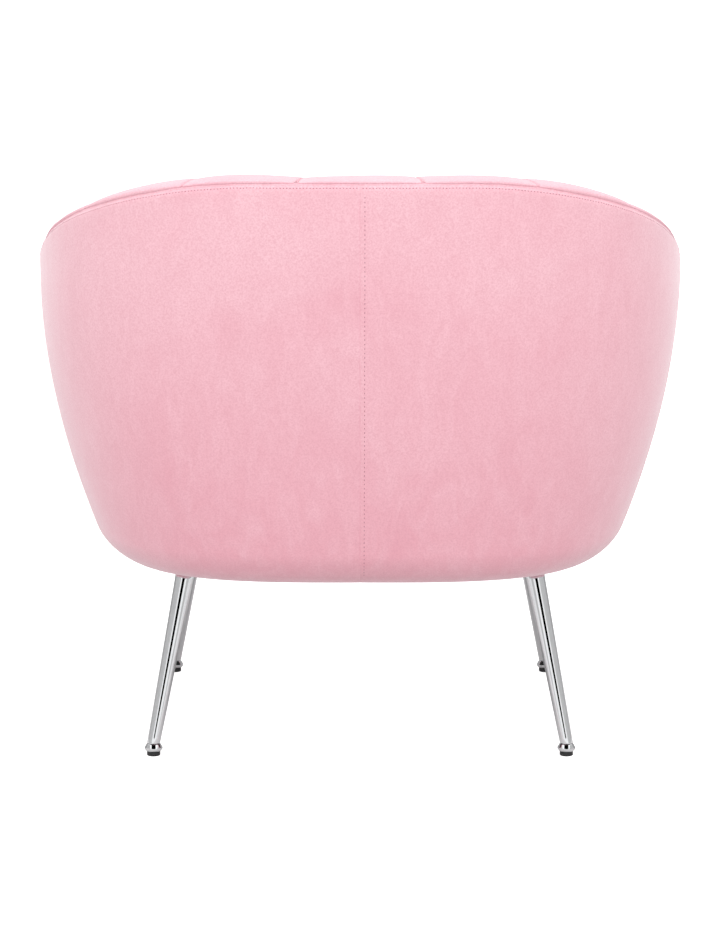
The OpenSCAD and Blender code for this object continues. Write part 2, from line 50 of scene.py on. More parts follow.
SIDE = 418.0
REACH = 351.0
ARM_START = 80.0
BEND_Y = -ARM_START
BACK_REACH = REACH + ARM_START
SEAM_TOP = 733.0
RIM_DROP = 174.0
BASE_Z = 225.0
SIDE_LEAN = 85.0
BACK_LEAN = 74.0
POWER = 3.1
EDGE_R = 45.0
WALL = 90.0
CROWN = 9.0
NOSE = WALL / 2
NOSE_Y = -REACH + 16 + NOSE
STRAIGHT = BEND_Y - NOSE_Y
ARC = 0.8634 * (SIDE + BACK_REACH)
ARM_END = ARC + STRAIGHT
DECK_Z = 313.0
PAD_BASE = DECK_Z - 16
CUSHION_LOW = DECK_Z + 1
CUSHION_EDGE = CUSHION_LOW + 128
HALF_CENTRE = 0.113 * ARC
SIDE_CHANNELS = 6
PITCH = (ARM_END - HALF_CENTRE) / SIDE_CHANNELS
CLOTH_T = 1.2
BORDER_Y = NOSE_Y - 16


def half_w(z):
    return SIDE - SIDE_LEAN * (np.maximum(BASE_Z + 369 - z, 0) / 369) ** 1.86


def back_b(z):
    return BACK_REACH - BACK_LEAN * (np.maximum(SEAM_TOP + 2 - z, 0) / 510) ** 1.8


def plan_r(th, a, b, n):
    s, c = np.abs(np.sin(th)) / a, np.abs(np.cos(th)) / b
    return (s**n + c**n) ** (-1 / n)


def wall(u, depth, z):
    """Points of the wall: u round the shell from the middle of the back, depth inwards."""
    u, depth, z = np.broadcast_arrays(
        np.asarray(u, float), np.asarray(depth, float), np.asarray(z, float)
    )
    v = np.abs(u)
    th = np.pi / 2 * np.minimum(v, ARC) / ARC
    a = half_w(z)
    r = plan_r(th, a, back_b(z), POWER) - depth
    x = np.where(v <= ARC, r * np.sin(th), a - depth)
    y = np.where(v <= ARC, BEND_Y + r * np.cos(th), BEND_Y - (v - ARC))
    return np.stack([np.where(u < 0, -x, x), y, z], -1)


def seam_z(u):
    t = np.clip((np.abs(u) - 0.187 * ARC) / (1.0136 * ARC), 0, 1)
    return SEAM_TOP - RIM_DROP * (1 - np.cos(np.pi * t)) / 2


def mark(k):
    return HALF_CENTRE + k * PITCH


MARKS = [mark(k) for k in range(SIDE_CHANNELS + 1)]

# ---------------------------------------------------------------- helpers


class Field:
    """Smooth repeatable value noise in two directions."""

    def __init__(self, seed, cell_u, cell_v):
        self.grid = np.random.RandomState(seed).uniform(-1, 1, (256, 256))
        self.cell = (cell_u, cell_v)

    def __call__(self, u, v):
        u, v = np.asarray(u) / self.cell[0] + 97.3, np.asarray(v) / self.cell[1] + 53.7
        iu, iv = np.floor(u).astype(int), np.floor(v).astype(int)
        fu, fv = u - iu, v - iv
        fu, fv = fu * fu * (3 - 2 * fu), fv * fv * (3 - 2 * fv)
        g = self.grid
        low = g[iu % 256, iv % 256] * (1 - fu) + g[(iu + 1) % 256, iv % 256] * fu
        high = g[iu % 256, (iv + 1) % 256] * (1 - fu) + g[(iu + 1) % 256, (iv + 1) % 256] * fu
        return low * (1 - fv) + high * fv


def spline(points, count):
    """Uniform Catmull-Rom through rows of control points."""
    p = np.asarray(points, float)
    ends = np.concatenate([[2 * p[0] - p[1]], p, [2 * p[-1] - p[-2]]])
    t = np.linspace(0, len(p) - 1, count)
    i = np.minimum(t.astype(int), len(p) - 2)
    f = (t - i)[:, None]
    a, b, c, d = ends[i], ends[i + 1], ends[i + 2], ends[i + 3]
    return 0.5 * (
        2 * b + (c - a) * f + (2 * a - 5 * b + 4 * c - d) * f**2
        + (3 * b - a - 3 * c + d) * f**3
    )


def even(line, count):
    """The same line with evenly spaced points."""
    s = np.concatenate([[0], np.cumsum(np.linalg.norm(np.diff(line, axis=0), axis=1))])
    t = np.linspace(0, s[-1], count)
    return np.stack([np.interp(t, s, line[:, k]) for k in range(line.shape[1])], -1)


def new_mesh(name, points, faces, smooth=True):
    mesh = bpy.data.meshes.new(name)
    mesh.from_pydata((np.asarray(points, float).reshape(-1, 3) / 1000).tolist(), [], faces)
    mesh.update()
    if smooth:
        mesh.shade_smooth()
    obj = bpy.data.objects.new(name, mesh)
    bpy.context.scene.collection.objects.link(obj)
    return obj


def grid_mesh(name, grid, flip=False, loop=False):
    """Mesh of quads over a grid of points, optionally joined round its first direction."""
    m, n = grid.shape[:2]
    i = np.arange(m if loop else m - 1)[:, None]
    j = np.arange(n - 1)[None, :]
    k = (i + 1) % m
    quads = np.stack([i * n + j, k * n + j, k * n + j + 1, i * n + j + 1], -1).reshape(-1, 4)
    if flip:
        quads = quads[:, ::-1]
    return new_mesh(name, grid, quads.tolist())


def solidify(obj, thickness, offset=-1.0):
    m = obj.modifiers.new("cloth_thickness", "SOLIDIFY")
    m.thickness = thickness / 1000
    m.offset = offset
    return obj


def edit_mesh(obj, change):
    """Hand the object's mesh to a function as a bmesh, and keep the result."""
    bm = bmesh.new()
    bm.from_mesh(obj.data)
    change(bm)
    bm.to_mesh(obj.data)
    bm.free()
    return obj


def welded(distance):
    """A mesh edit that joins points closer than a distance in metres."""
    return lambda bm: bmesh.ops.remove_doubles(bm, verts=bm.verts, dist=distance)


def closed(bm):
    """Fill the open ends and turn every face outwards."""
    bmesh.ops.holes_fill(bm, edges=[e for e in bm.edges if e.is_boundary])
    bmesh.ops.recalc_face_normals(bm, faces=bm.faces)


def seamless_tube(bm):
    """Join the first and last side of a tube and turn every face outwards."""
    bmesh.ops.remove_doubles(bm, verts=bm.verts, dist=1e-7)
    bmesh.ops.recalc_face_normals(bm, faces=bm.faces)


def grid_normals(g):
    du = np.gradient(g, axis=0)
    dv = np.gradient(g, axis=1)
    n = np.cross(du, dv)
    return n / np.maximum(np.linalg.norm(n, axis=-1, keepdims=True), 1e-9)


def finish_piece(obj, material, body, slot, *nodes):
    obj.data.materials.clear()
    obj.data.materials.append(material)
    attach(obj, body)
    if nodes:
        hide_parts(*nodes)
    return obj


# ---------------------------------------------------------------- materials


def srgb(r, g, b):
    def one(c):
        c /= 255
        return c / 12.92 if c <= 0.04045 else ((c + 0.055) / 1.055) ** 2.4

    return (one(r), one(g), one(b), 1)


def new_material(name):
    m = bpy.data.materials.new(name)
    m.use_nodes = True
    tree = m.node_tree
    return m, tree, tree.nodes["Principled BSDF"]


def add(tree, kind, **inputs):
    n = tree.nodes.new(kind)
    for key, value in inputs.items():
        n.inputs[key.replace("_", " ")].default_value = value
    return n


def mixed(tree, fac, a, b, blend="MIX"):
    n = tree.nodes.new("ShaderNodeMix")
    n.data_type = "RGBA"
    n.blend_type = blend
    for k, value in ((0, fac), (6, a), (7, b)):
        if isinstance(value, bpy.types.NodeSocket):
            tree.links.new(value, n.inputs[k])
        else:
            n.inputs[k].default_value = value
    return n.outputs[2]


def ramp(tree, source, low, high, a=0.0, b=1.0):
    n = tree.nodes.new("ShaderNodeMapRange")
    n.inputs["From Min"].default_value = low
    n.inputs["From Max"].default_value = high
    n.inputs["To Min"].default_value = a
    n.inputs["To Max"].default_value = b
    tree.links.new(source, n.inputs["Value"])
    return n.outputs["Result"]


def velvet(name, low, high, streak=1.0, sheen=0.9):
    """Short-pile velvet: painted top light, paler towards the top and darker lower down by object height, nap
    patches, fine grain, sheen and a pile bump.
    """
    m, tree, p = new_material(name)
    link = tree.links.new
    where = tree.nodes.new("ShaderNodeTexCoord").outputs["Object"]
    height = tree.nodes.new("ShaderNodeSeparateXYZ")
    link(where, height.inputs[0])
    nap = add(tree, "ShaderNodeTexNoise", Scale=5.0, Detail=3.0, Roughness=0.55, Distortion=0.6)
    fine = add(tree, "ShaderNodeTexNoise", Scale=460.0, Detail=2.0, Roughness=0.7)
    pile = add(tree, "ShaderNodeTexNoise", Scale=1500.0, Detail=2.0, Roughness=0.6)
    brush = add(tree, "ShaderNodeTexNoise", Scale=38.0, Detail=4.0, Roughness=0.6, Distortion=1.2)
    stretch = tree.nodes.new("ShaderNodeMapping")
    stretch.inputs["Scale"].default_value = (1.0, 1.0, 0.35)
    link(where, stretch.inputs["Vector"])
    for n in (nap, fine, pile):
        link(where, n.inputs["Vector"])
    link(stretch.outputs["Vector"], brush.inputs["Vector"])
    # painted light and shade: the colour runs from the low colour at 0.24 m to the paler high colour at 0.72
    # m of object height, as if lit from above
    base = mixed(tree, ramp(tree, height.outputs["Z"], 0.24, 0.72), low, high)
    pale = tuple(min(1.0, v * 1.05) for v in high[:3]) + (1,)
    deep = tuple(v * f for v, f in zip(low[:3], (0.96, 0.89, 0.91))) + (1,)
    grain = tuple(v * f for v, f in zip(low[:3], (0.84, 0.72, 0.76))) + (1,)
    a = mixed(tree, ramp(tree, nap.outputs["Fac"], 0.40, 0.72, 0, 0.55), base, deep)
    b = mixed(tree, ramp(tree, brush.outputs["Fac"], 0.40, 0.72, 0, 0.45 * streak), a, pale)
    c = mixed(tree, ramp(tree, fine.outputs["Fac"], 0.38, 0.66, 0, 0.5), b, grain)
    link(c, p.inputs["Base Color"])
    p.inputs["Roughness"].default_value = 0.82
    p.inputs["Specular IOR Level"].default_value = 0.22
    p.inputs["Sheen Weight"].default_value = sheen
    p.inputs["Sheen Roughness"].default_value = 0.45
    p.inputs["Sheen Tint"].default_value = (1.0, 0.93, 0.95, 1)
    b1 = add(tree, "ShaderNodeBump", Strength=0.32, Distance=0.0006)
    b2 = add(tree, "ShaderNodeBump", Strength=0.22, Distance=0.0012)
    link(pile.outputs["Fac"], b1.inputs["Height"])
    link(brush.outputs["Fac"], b2.inputs["Height"])
    link(b1.outputs["Normal"], b2.inputs["Normal"])
    link(b2.outputs["Normal"], p.inputs["Normal"])
    return m


# in each velvet the first colour is the painted shade low down and the second the painted top light
outer_velvet = velvet("outer_velvet", srgb(234, 173, 185), srgb(239, 194, 203))
inner_velvet = velvet("inner_velvet", srgb(237, 180, 191), srgb(236, 192, 201), sheen=0.55)


def thread_material():
    m, tree, p = new_material("stitch_thread")
    where = tree.nodes.new("ShaderNodeTexCoord").outputs["Object"]
    n = add(tree, "ShaderNodeTexNoise", Scale=900.0, Detail=2.0)
    tree.links.new(where, n.inputs["Vector"])
    c = mixed(tree, n.outputs["Fac"], srgb(150, 78, 94), srgb(186, 112, 128))
    tree.links.new(c, p.inputs["Base Color"])
    p.inputs["Roughness"].default_value = 0.6
    p.inputs["Sheen Weight"].default_value = 0.2
    return m


def chrome_material(name="polished_chrome"):
    m, tree, p = new_material(name)
    where = tree.nodes.new("ShaderNodeTexCoord").outputs["Object"]
    n = add(tree, "ShaderNodeTexNoise", Scale=60.0, Detail=4.0, Roughness=0.6)
    tree.links.new(where, n.inputs["Vector"])
    c = mixed(tree, n.outputs["Fac"], (0.80, 0.81, 0.83, 1), (0.88, 0.89, 0.90, 1))
    tree.links.new(c, p.inputs["Base Color"])
    p.inputs["Metallic"].default_value = 1.0
    tree.links.new(ramp(tree, n.outputs["Fac"], 0.3, 0.7, 0.02, 0.04), p.inputs["Roughness"])
    return m


def plain_material(name, low, high, scale, rough, bump=0.2, distance=0.0004, metal=0.0, stretch=None):
    m, tree, p = new_material(name)
    where = tree.nodes.new("ShaderNodeTexCoord").outputs["Object"]
    if stretch:
        mp = tree.nodes.new("ShaderNodeMapping")
        mp.inputs["Scale"].default_value = stretch
        tree.links.new(where, mp.inputs["Vector"])
        where = mp.outputs["Vector"]
    n = add(tree, "ShaderNodeTexNoise", Scale=scale, Detail=4.0, Roughness=0.6)
    tree.links.new(where, n.inputs["Vector"])
    tree.links.new(mixed(tree, ramp(tree, n.outputs["Fac"], 0.3, 0.7), low, high), p.inputs["Base Color"])
    p.inputs["Metallic"].default_value = metal
    p.inputs["Roughness"].default_value = rough
    b = add(tree, "ShaderNodeBump", Strength=bump, Distance=distance)
    tree.links.new(n.outputs["Fac"], b.inputs["Height"])
    tree.links.new(b.outputs["Normal"], p.inputs["Normal"])
    return m


def cloth_material(name, low, high, pitch_mm):
    """Plain weave from two crossed wave textures."""
    m, tree, p = new_material(name)
    where = tree.nodes.new("ShaderNodeTexCoord").outputs["Object"]
    waves = []
    for direction in ("X", "Y"):
        w = tree.nodes.new("ShaderNodeTexWave")
        w.bands_direction = direction
        w.inputs["Scale"].default_value = 1000 / pitch_mm / 20 * 2
        w.inputs["Distortion"].default_value = 0.4
        tree.links.new(where, w.inputs["Vector"])
        waves.append(w.outputs["Fac"])
    top = tree.nodes.new("ShaderNodeMath")
    top.operation = "MULTIPLY"
    tree.links.new(waves[0], top.inputs[0])
    tree.links.new(waves[1], top.inputs[1])
    tree.links.new(mixed(tree, top.outputs[0], low, high), p.inputs["Base Color"])
    p.inputs["Roughness"].default_value = 0.9
    b = add(tree, "ShaderNodeBump", Strength=0.4, Distance=0.0004)
    tree.links.new(top.outputs[0], b.inputs["Height"])
    tree.links.new(b.outputs["Normal"], p.inputs["Normal"])
    return m


thread = thread_material()
chrome = chrome_material()
black_plastic = plain_material("black_plastic", (0.012, 0.012, 0.013, 1), (0.03, 0.03, 0.032, 1), 300.0, 0.45)
dust_cloth = cloth_material("dust_cloth", (0.012, 0.012, 0.013, 1), (0.04, 0.04, 0.042, 1), 1.2)
deck_cloth = cloth_material("deck_cloth", srgb(205, 150, 163), srgb(226, 172, 185), 1.4)
steel = plain_material("plain_steel", (0.42, 0.43, 0.45, 1), (0.6, 0.61, 0.62, 1), 90.0, 0.34, metal=1.0)
wood = plain_material(
    "frame_wood", srgb(186, 143, 92), srgb(214, 176, 124), 30.0, 0.6, stretch=(6.0, 6.0, 0.6)
)
board = plain_material("fibreboard", srgb(150, 118, 78), srgb(176, 146, 104), 160.0, 0.8)
web = cloth_material("webbing_cloth", (0.02, 0.02, 0.022, 1), (0.07, 0.07, 0.075, 1), 2.0)
foam = plain_material("foam", srgb(232, 222, 190), srgb(246, 238, 214), 400.0, 0.95, bump=0.5)
wadding = plain_material("wadding", srgb(236, 233, 226), srgb(250, 248, 244), 120.0, 0.95, bump=0.5)

CAD_LOOKS = {
    "velvet": outer_velvet,
    "lining_cloth": deck_cloth,
    "dust_cloth": dust_cloth,
    "wadding": wadding,
    "foam": foam,
    "fibreboard": board,
    "webbing": web,
    "plain_steel": steel,
    "chrome": chrome,
    "glide_plastic": black_plastic,
    "frame_wood": wood,
}
for part in frame["record"]["subparts"]:
    data = frame["nodes"][part["node"]].data
    data.materials.clear()
    data.materials.append(CAD_LOOKS[part["material_slot"]])

# ---------------------------------------------------------------- outer cover

pucker = Field(11, 9.0, 40.0)
wide = Field(12, 170.0, 120.0)
medium = Field(13, 55.0, 70.0)


def outer_profile(u, count):
    """Depth and height from the turn-under up to the rolled top edge."""
    top = float(seam_z(u))
    line = [[EDGE_R + 15, BASE_Z + 1.0], [EDGE_R + 6, BASE_Z]]
    for f in np.radians(np.arange(4, 91, 8)):
        line.append([EDGE_R - EDGE_R * math.sin(f), BASE_Z + EDGE_R - EDGE_R * math.cos(f)])
    for z in np.linspace(BASE_Z + EDGE_R, top - 6, 22)[1:]:
        line.append([0, z])
    for f in np.radians(np.arange(15, 91, 15)):
        line.append([5 * (1 - math.cos(f)), top - 6 + 5.5 * math.sin(f)])
    line.append([8, top - 1.5])
    return even(np.array(line), count)


def outer_half(side):
    us = np.concatenate([
        [0.25, 0.6, 1.2, 2.0, 3.0, 4.5, 6.5],
        np.arange(9, ARM_END - 6, 4.5),
        ARM_END + np.array([-5.5, -3.5, -2, -1, -0.4]),
    ])
    rows = 150
    g = np.zeros((len(us), rows, 3))
    for i, u in enumerate(us):
        p = outer_profile(u, rows)
        depth, z = p[:, 0].copy(), p[:, 1].copy()
        down = seam_z(u) - z
        # cloth drawn in at the middle seam and at the arm-front seam
        depth += 1.1 * np.exp(-u / 0.9) * (z < seam_z(u) + 9)
        depth += 3.0 * np.exp(-(ARM_END - u) / 2.0)
        # gathers below the rim seam, strongest across the second channels
        strong = 0.35 + 0.9 * math.exp(-(((u - 140) / 95.0) ** 2))
        strong += 0.35 * math.exp(-(((u - 420) / 160.0) ** 2))
        fade = np.exp(-np.maximum(down - 4, 0) / 16.0) * np.clip(down / 5, 0, 1)
        s = side * u
        depth += 0.75 * strong * fade * pucker(s, z * 0.35)
        depth += 0.6 * wide(s, z) * np.clip((z - BASE_Z - 20) / 60, 0, 1) * np.clip(down / 30, 0, 1)
        depth += 0.30 * medium(s, z) * np.clip((z - BASE_Z - 10) / 40, 0, 1) * np.clip(down / 14, 0, 1)
        # slight pinches where the middle seam pulls
        depth += 0.5 * math.exp(-u / 9.0) * (1 + 0.6 * np.sin(z / 11.0))
        g[i] = wall(s, depth, z)
    obj = grid_mesh("outer_back_" + ("right" if side > 0 else "left"), g, flip=side < 0)
    solidify(obj, CLOTH_T)
    return obj, g


outer_right, grid_right = outer_half(1)
outer_left, grid_left = outer_half(-1)
finish_piece(outer_right, outer_velvet, "chair", "velvet", "outer_cover_right", "outer_wadding")
finish_piece(outer_left, outer_velvet, "chair", "velvet", "outer_cover_left")

# ---------------------------------------------------------------- inside cover

gather = Field(21, 7.0, 30.0)
inner_wide = Field(22, 120.0, 90.0)
SLOT = 0.6


def crown(u):
    """Height of the padded crown above the seam."""
    return CROWN - 1.5 + 6.0 * math.exp(-(((abs(u) - 330) / 150.0) ** 2))


def inside_controls(u):
    z = float(seam_z(u))
    c, w = crown(u), WALL
    low = PAD_BASE
    return [
        [7.5, z + 1.2], [4.2, z + 0.6], [1.4, z + 2.0], [2.6, z + 0.46 * c], [12, z + 0.76 * c],
        [28, z + 0.96 * c], [46, z + c], [w - 26, z + 0.8 * c], [w - 12, z], [w - 4, z - 14],
        [w, z - 40], [w, z + 0.25 * (low - z) - 30], [w, z + 0.6 * (low - z)], [w, low],
    ]


def channel_of(u):
    """Centre and half width of the channel that holds |u|."""
    v = abs(u)
    if v <= MARKS[0]:
        return 0.0, MARKS[0]
    for k in range(SIDE_CHANNELS):
        if v <= MARKS[k + 1] + 1e-6:
            return (MARKS[k] + MARKS[k + 1]) / 2, (MARKS[k + 1] - MARKS[k]) / 2
    return (MARKS[5] + MARKS[6]) / 2, (MARKS[6] - MARKS[5]) / 2


def inside_panel():
    us = [0.0]
    edges = [0.0] + MARKS
    for k in range(SIDE_CHANNELS + 1):
        a, b = edges[k], edges[k + 1]
        step = np.linspace(0, 1, 25)[1:]
        # crowd the stations at the tucks
        t = 0.5 - 0.5 * np.cos(np.pi * step) if k else np.sin(np.pi / 2 * step)
        us += list(a + (b - a) * t)
    us = np.array(us)
    us = np.concatenate([-us[:0:-1], us])
    rows = 190
    g = np.zeros((len(us), rows, 3))
    for i, u in enumerate(us):
        line = even(spline(inside_controls(u), 400), rows)
        tangent = np.gradient(line, axis=0)
        tangent /= np.linalg.norm(tangent, axis=1, keepdims=True)
        # points into the padding: left of the way from the seam over the crown and down
        inward = np.stack([tangent[:, 1], -tangent[:, 0]], -1)
        top = float(seam_z(u))
        centre, half = channel_of(u)
        x = min(abs(abs(u) - centre) / half, 1.0)
        if centre == 0:
            x = min(abs(u) / half, 1.0)
        edge_mm = (1 - x) * half
        along = np.linspace(0, 1, rows)
        length = np.linalg.norm(np.diff(line, axis=0), axis=1).sum()
        run = along * length
        inner_side = np.clip((run - 62) / 60, 0, 1)
        inner_side = inner_side * inner_side * (3 - 2 * inner_side)
        strip = np.clip(run / 9, 0, 1)
        round_off = 1 - max(1 - x**2.4, 0) ** 0.5
        depth = (2.6 * strip * (1 - inner_side) + 12.5 * inner_side) * round_off
        crease = math.exp(-((edge_mm / 2.6) ** 2))
        tuck = math.exp(-((edge_mm / 1.1) ** 2))
        depth += 4.0 * inner_side * crease + 4.5 * strip * (1 - inner_side) * tuck
        # little gathers either side of each tuck and along the rim seam
        near = math.exp(-edge_mm / 14.0)
        depth += 0.6 * near * gather(run * 0.55, u * 0.2) * inner_side
        rim = np.exp(-np.maximum(run - 6, 0) / 9.0) * np.clip(run / 5, 0, 1)
        depth += 0.55 * rim * pucker(u + 31, run)
        depth += 1.1 * inner_wide(u, run) * np.clip((run - 15) / 40, 0, 1)
        # the arm-front end dips into its seam
        depth += 4.5 * math.exp(-(ARM_END - abs(u)) / 2.2) * np.clip(run / 12, 0, 1)
        p = line + inward * depth[:, None]
        g[i] = wall(u, p[:, 0], p[:, 1])
    obj = grid_mesh("inside_channels", g, flip=True)
    solidify(obj, CLOTH_T)
    return obj, g


inside, inside_grid = inside_panel()
pads = ["channel_pad_centre"]
for label in ("left", "right"):
    pads += ["channel_pad_%s_%d" % (label, k + 1) for k in range(SIDE_CHANNELS)]
finish_piece(inside, inner_velvet, "chair", "velvet", "inside_cover", *pads)

# ---------------------------------------------------------------- arm fronts


def nose_controls():
    """Depth and height along the arm section: outer base, crown, inner base."""
    z, c, w, e = float(seam_z(ARM_END)), crown(ARM_END), WALL, EDGE_R
    mid = [BASE_Z + e, z]

    def up(f):
        return mid[0] + (mid[1] - mid[0]) * f

    return [
        [NOSE - 1, BASE_Z], [e - e * math.sin(math.radians(30)), BASE_Z + e - e * math.cos(math.radians(30))],
        [e - e * math.sin(math.radians(62)), BASE_Z + e - e * math.cos(math.radians(62))],
        [0, BASE_Z + e], [0, up(0.25)], [0, up(0.5)], [0, up(0.75)], [0, z - 8], [2.6, z + 0.4 * c],
        [12, z + 0.76 * c], [28, z + 0.96 * c], [46, z + c], [w - 26, z + 0.8 * c], [w - 12, z],
        [w - 4, z - 14], [w, z - 40], [w, up(0.66)], [w, up(0.33)], [w, BASE_Z + e], [w, BASE_Z + 14],
        [w - 8, BASE_Z + 2], [NOSE + 1, BASE_Z],
    ]


nose_noise = Field(31, 9.0, 26.0)


def arm_nose(side):
    line = even(spline(nose_controls(), 700), 260)
    zt = float(seam_z(ARM_END))
    angles = np.concatenate([[0, 0.7, 1.5, 2.6, 4, 6, 8.5], np.arange(12, 84, 3.5), [85, 87, 88.5, 90]])
    g = np.zeros((len(angles), len(line), 3))
    tangent = np.gradient(line, axis=0)
    tangent /= np.linalg.norm(tangent, axis=1, keepdims=True)
    inward = np.stack([tangent[:, 1], -tangent[:, 0]], -1)
    run = np.arange(len(line)) * 5.0
    for i, deg in enumerate(angles):
        a = math.radians(deg)
        forward = (NOSE - 0.4) * math.sin(a)
        dip = 4.0 * math.exp(-forward / 2.4) - 0.8 * math.sin(2 * a)
        dip = dip + 0.5 * math.exp(-forward / 10) * nose_noise(run * 0.35, side * forward + 40)
        p = line + inward * np.reshape(dip, (-1, 1)) * math.cos(a) ** 0.5
        k = 1 - math.cos(a)
        rise = np.clip((p[:, 1] - BASE_Z - 90) / (zt - BASE_Z - 90), 0, 1)
        low = np.clip((BASE_Z + 90 - p[:, 1]) / 90, 0, 1)
        z = p[:, 1] - 34 * k * rise + 22 * k * low
        h = (NOSE - p[:, 0]) * math.cos(a)
        x = half_w(p[:, 1]) - NOSE + h
        y = np.full_like(x, NOSE_Y - 0.4 - forward)
        g[i] = np.stack([side * x, y, z], -1)
    obj = grid_mesh("arm_front_" + ("right" if side > 0 else "left"), g, flip=side < 0)
    solidify(obj, CLOTH_T)
    return obj


for side, label in ((-1, "left"), (1, "right")):
    nose = arm_nose(side)
    finish_piece(nose, inner_velvet, "chair", "velvet", "nose_cover_" + label, "nose_pad_" + label)

# ---------------------------------------------------------------- front border and deck

border_noise = Field(41, 16.0, 30.0)


def front_border():
    y, d = BORDER_Y, DECK_Z
    controls = [
        [y + 36, BASE_Z + 0.4], [y + 20, BASE_Z + 0.2], [y + 9, BASE_Z + 3], [y + 2.6, BASE_Z + 10],
        [y, BASE_Z + 22], [y, BASE_Z + 45], [y, d - 20], [y + 4, d - 7], [y + 15, d - 1], [y + 36, d - 0.6],
    ]
    line = even(spline(controls, 300), 70)
    xs = np.linspace(-1, 1, 121)
    g = np.zeros((len(xs), len(line), 3))
    for i, f in enumerate(xs):
        half = half_w(line[:, 1]) - WALL - 1.0
        x = f * half
        edge = (1 - abs(f)) * 240
        puff = 2.4 * (1 - math.exp(-edge / 18.0)) - 1.0
        face = np.clip((y + 22 - line[:, 0]) / 20, 0, 1)
        out = puff * face + 0.5 * border_noise(x, line[:, 1]) * face
        g[i] = np.stack([x, line[:, 0] - out, line[:, 1]], -1)
    obj = grid_mesh("front_border", g, flip=True)
    solidify(obj, CLOTH_T)
    return obj


finish_piece(front_border(), outer_velvet, "chair", "velvet", "front_border_cover", "front_border_pad")


def floor_ring(depth, z, share, yf, count=180):
    """Plan outline inside the wall, closed at the front, drawn towards its middle by a share."""
    u = np.linspace(-ARC, ARC, count)
    back = wall(u, depth, z)[:, :2]
    x = float(half_w(z) - depth)
    n = 24
    side_a = np.stack([np.full(n, x), np.linspace(BEND_Y, yf, n + 1)[1:]], -1)
    side_b = np.stack([np.full(n, -x), np.linspace(yf, BEND_Y, n + 1)[:-1]], -1)
    front = np.stack([np.linspace(x, -x, 60)[1:-1], np.full(58, yf)], -1)
    ring = np.concatenate([back, side_a, front, side_b])
    middle = np.array([0, -40.0])
    return middle + (ring - middle) * share


deck_noise = Field(42, 60.0, 60.0)


def deck():
    shares = np.concatenate([np.linspace(0, 0.9, 27), [0.94, 0.97, 0.985, 1.0]])
    g = []
    for f in shares:
        ring = floor_ring(WALL + 1.0, DECK_Z, f, BORDER_Y + 36.5)
        sag = 5.0 * (1 - f**2) + 0.8 * deck_noise(ring[:, 0], ring[:, 1]) * (1 - f**6)
        z = DECK_Z - 0.2 - sag
        g.append(np.concatenate([ring, z[:, None]], -1))
    g = np.array(g).transpose(1, 0, 2)
    obj = grid_mesh("seat_deck", g, loop=True)
    # the innermost ring is one point
    edit_mesh(obj, welded(1e-6))
    if obj.data.polygons[0].normal.z < 0:
        obj.data.flip_normals()
    solidify(obj, CLOTH_T)
    return obj


finish_piece(deck(), deck_cloth, "chair", "lining_cloth", "deck_cover", "deck_pad")

# ---------------------------------------------------------------- seat cushion

SEAT_GAP = 6.0
SEAM_IN = 9
VOXEL = 0.0065
PRESSURE = 4.5
CLOTH_FRAMES = 18
MOST_MOVED = 20.0
SEAT_FRONT = REACH - ARM_START
SEAM_LOW = CUSHION_LOW + 7
SEAM_HIGH = CUSHION_EDGE - 5
MIDDLE = (0.0, BEND_Y)


def seat_radius(th, z):
    """Plan radius of the cushion about the bend centre, angle from +Y."""
    a = half_w(z) - WALL - SEAT_GAP
    back = plan_r(th, half_w(z), back_b(z), POWER) - WALL - SEAT_GAP
    front = plan_r(th, a, SEAT_FRONT, 7)
    return np.where(np.cos(th) >= 0, back, front)


def seat_ring(e, z, zo, count):
    th = np.linspace(0, 2 * np.pi, count, endpoint=False)
    r = seat_radius(th, z) - e
    return np.stack([r * np.sin(th), BEND_Y + r * np.cos(th), np.full(count, float(zo))], -1)


def cushion_start(count=160):
    rings = []
    for share in np.linspace(0.04, 0.94, 16):
        rings.append(seat_ring(8, CUSHION_LOW, CUSHION_LOW + 5, count))
        rings[-1][:, :2] = MIDDLE + (rings[-1][:, :2] - MIDDLE) * share
    rings.append(seat_ring(SEAM_IN, CUSHION_LOW, SEAM_LOW - 2, count))
    for f in np.linspace(0, 1, 14):
        z = SEAM_LOW + (SEAM_HIGH - SEAM_LOW) * f
        rings.append(seat_ring(SEAM_IN - 5 * math.sin(math.pi * f), z, z, count))
    rings.append(seat_ring(SEAM_IN, SEAM_HIGH, SEAM_HIGH + 2, count))
    for share in np.linspace(0.95, 0.04, 18):
        r = seat_ring(SEAM_IN, SEAM_HIGH, SEAM_HIGH + 4 + 9 * (1 - share**2), count)
        r[:, :2] = MIDDLE + (r[:, :2] - MIDDLE) * share
        rings.append(r)
    g = np.array(rings).transpose(1, 0, 2)
    return edit_mesh(grid_mesh("cushion_start", g, loop=True), closed)


def apply_modifiers(obj):
    deps = bpy.context.evaluated_depsgraph_get()
    mesh = bpy.data.meshes.new_from_object(obj.evaluated_get(deps))
    obj.modifiers.clear()
    old = obj.data
    obj.data = mesh
    bpy.data.meshes.remove(old)


def coordinates(obj):
    co = np.zeros(len(obj.data.vertices) * 3, np.float32)
    obj.data.vertices.foreach_get("co", co)
    return co.reshape(-1, 3).astype(float)


def normals_of(obj):
    n = np.zeros(len(obj.data.vertices) * 3, np.float32)
    obj.data.vertices.foreach_get("normal", n)
    return n.reshape(-1, 3).astype(float)


def set_coordinates(obj, co):
    obj.data.vertices.foreach_set("co", co.astype(np.float32).ravel())
    obj.data.update()


cushion_pucker = Field(51, 11.0, 60.0)
cushion_wide = Field(52, 110.0, 110.0)


